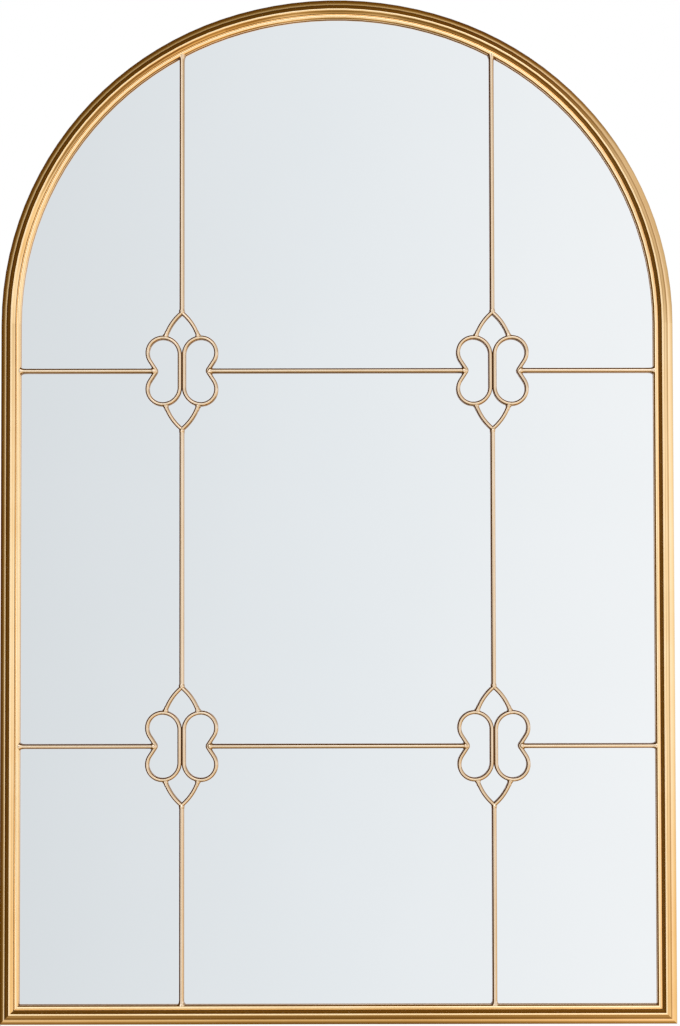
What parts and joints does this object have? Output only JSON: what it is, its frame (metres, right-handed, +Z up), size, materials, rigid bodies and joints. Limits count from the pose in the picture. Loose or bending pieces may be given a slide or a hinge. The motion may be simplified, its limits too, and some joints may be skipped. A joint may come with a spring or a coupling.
{
  "type": "wall mirror",
  "caption": "Arched wall mirror in a reeded gilt metal frame, with a grille of thin bars and wire rosettes over the glass, a clipped backing board and swinging hanger rings.",
  "frame": {"origin": "on the wall, midway between the two hooks that carry the raised hanger rings", "axes": "+X to the viewer's right, +Y into the wall, +Z up; the glass faces -Y"},
  "size_m": [0.61, 0.0249, 0.9289],
  "materials": {
    "gilt": "satin gilt lacquer on steel",
    "mirror": "silvered float glass",
    "tape": "black foam tape",
    "board": "smooth brown fibreboard",
    "steel": "zinc plated",
    "pads": "matt black rubber"
  },
  "bodies": {
    "frame": {"backing_board": "board", "bar_left_bottom": "gilt", "bar_left_middle": "gilt", "bar_left_top": "gilt", "bar_lower_centre": "gilt", "bar_lower_left": "gilt", "bar_lower_right": "gilt", "bar_right_bottom": "gilt", "bar_right_middle": "gilt", "bar_right_top": "gilt", "bar_upper_centre": "gilt", "bar_upper_left": "gilt", "bar_upper_right": "gilt", "border_rod_arch": "gilt", "border_rod_bottom": "gilt", "clip_screws": "steel", "frame_arch": "gilt", "frame_bottom_rail": "gilt", "glazing_tape": "tape", "hanger_screws": "steel", "hanger_strap_left": "steel", "hanger_strap_right": "steel", "mirror_glass": "mirror", "retaining_clips": "steel", "rosette_lower_left_cap_bottom": "gilt", "rosette_lower_left_cap_top": "gilt", "rosette_lower_left_loop_left": "gilt", "rosette_lower_left_loop_right": "gilt", "rosette_lower_right_cap_bottom": "gilt", "rosette_lower_right_cap_top": "gilt", "rosette_lower_right_loop_left": "gilt", "rosette_lower_right_loop_right": "gilt", "rosette_upper_left_cap_bottom": "gilt", "rosette_upper_left_cap_top": "gilt", "rosette_upper_left_loop_left": "gilt", "rosette_upper_left_loop_right": "gilt", "rosette_upper_right_cap_bottom": "gilt", "rosette_upper_right_cap_top": "gilt", "rosette_upper_right_loop_left": "gilt", "rosette_upper_right_loop_right": "gilt", "wall_pads": "pads"},
    "ring_left": {"hanger_ring_left": "steel"},
    "ring_right": {"hanger_ring_right": "steel"}
  },
  "joints": [
    {"name": "ring_left_swing", "type": "hinge", "parent": "frame", "child": "ring_left", "pos_m": [-0.19, -0.00617, -0.01175], "axis": [1, 0, 0], "range_deg": [0, 178]},
    {"name": "ring_right_swing", "type": "hinge", "parent": "frame", "child": "ring_right", "pos_m": [0.19, -0.00617, -0.01175], "axis": [1, 0, 0], "range_deg": [0, 178]}
  ]
}
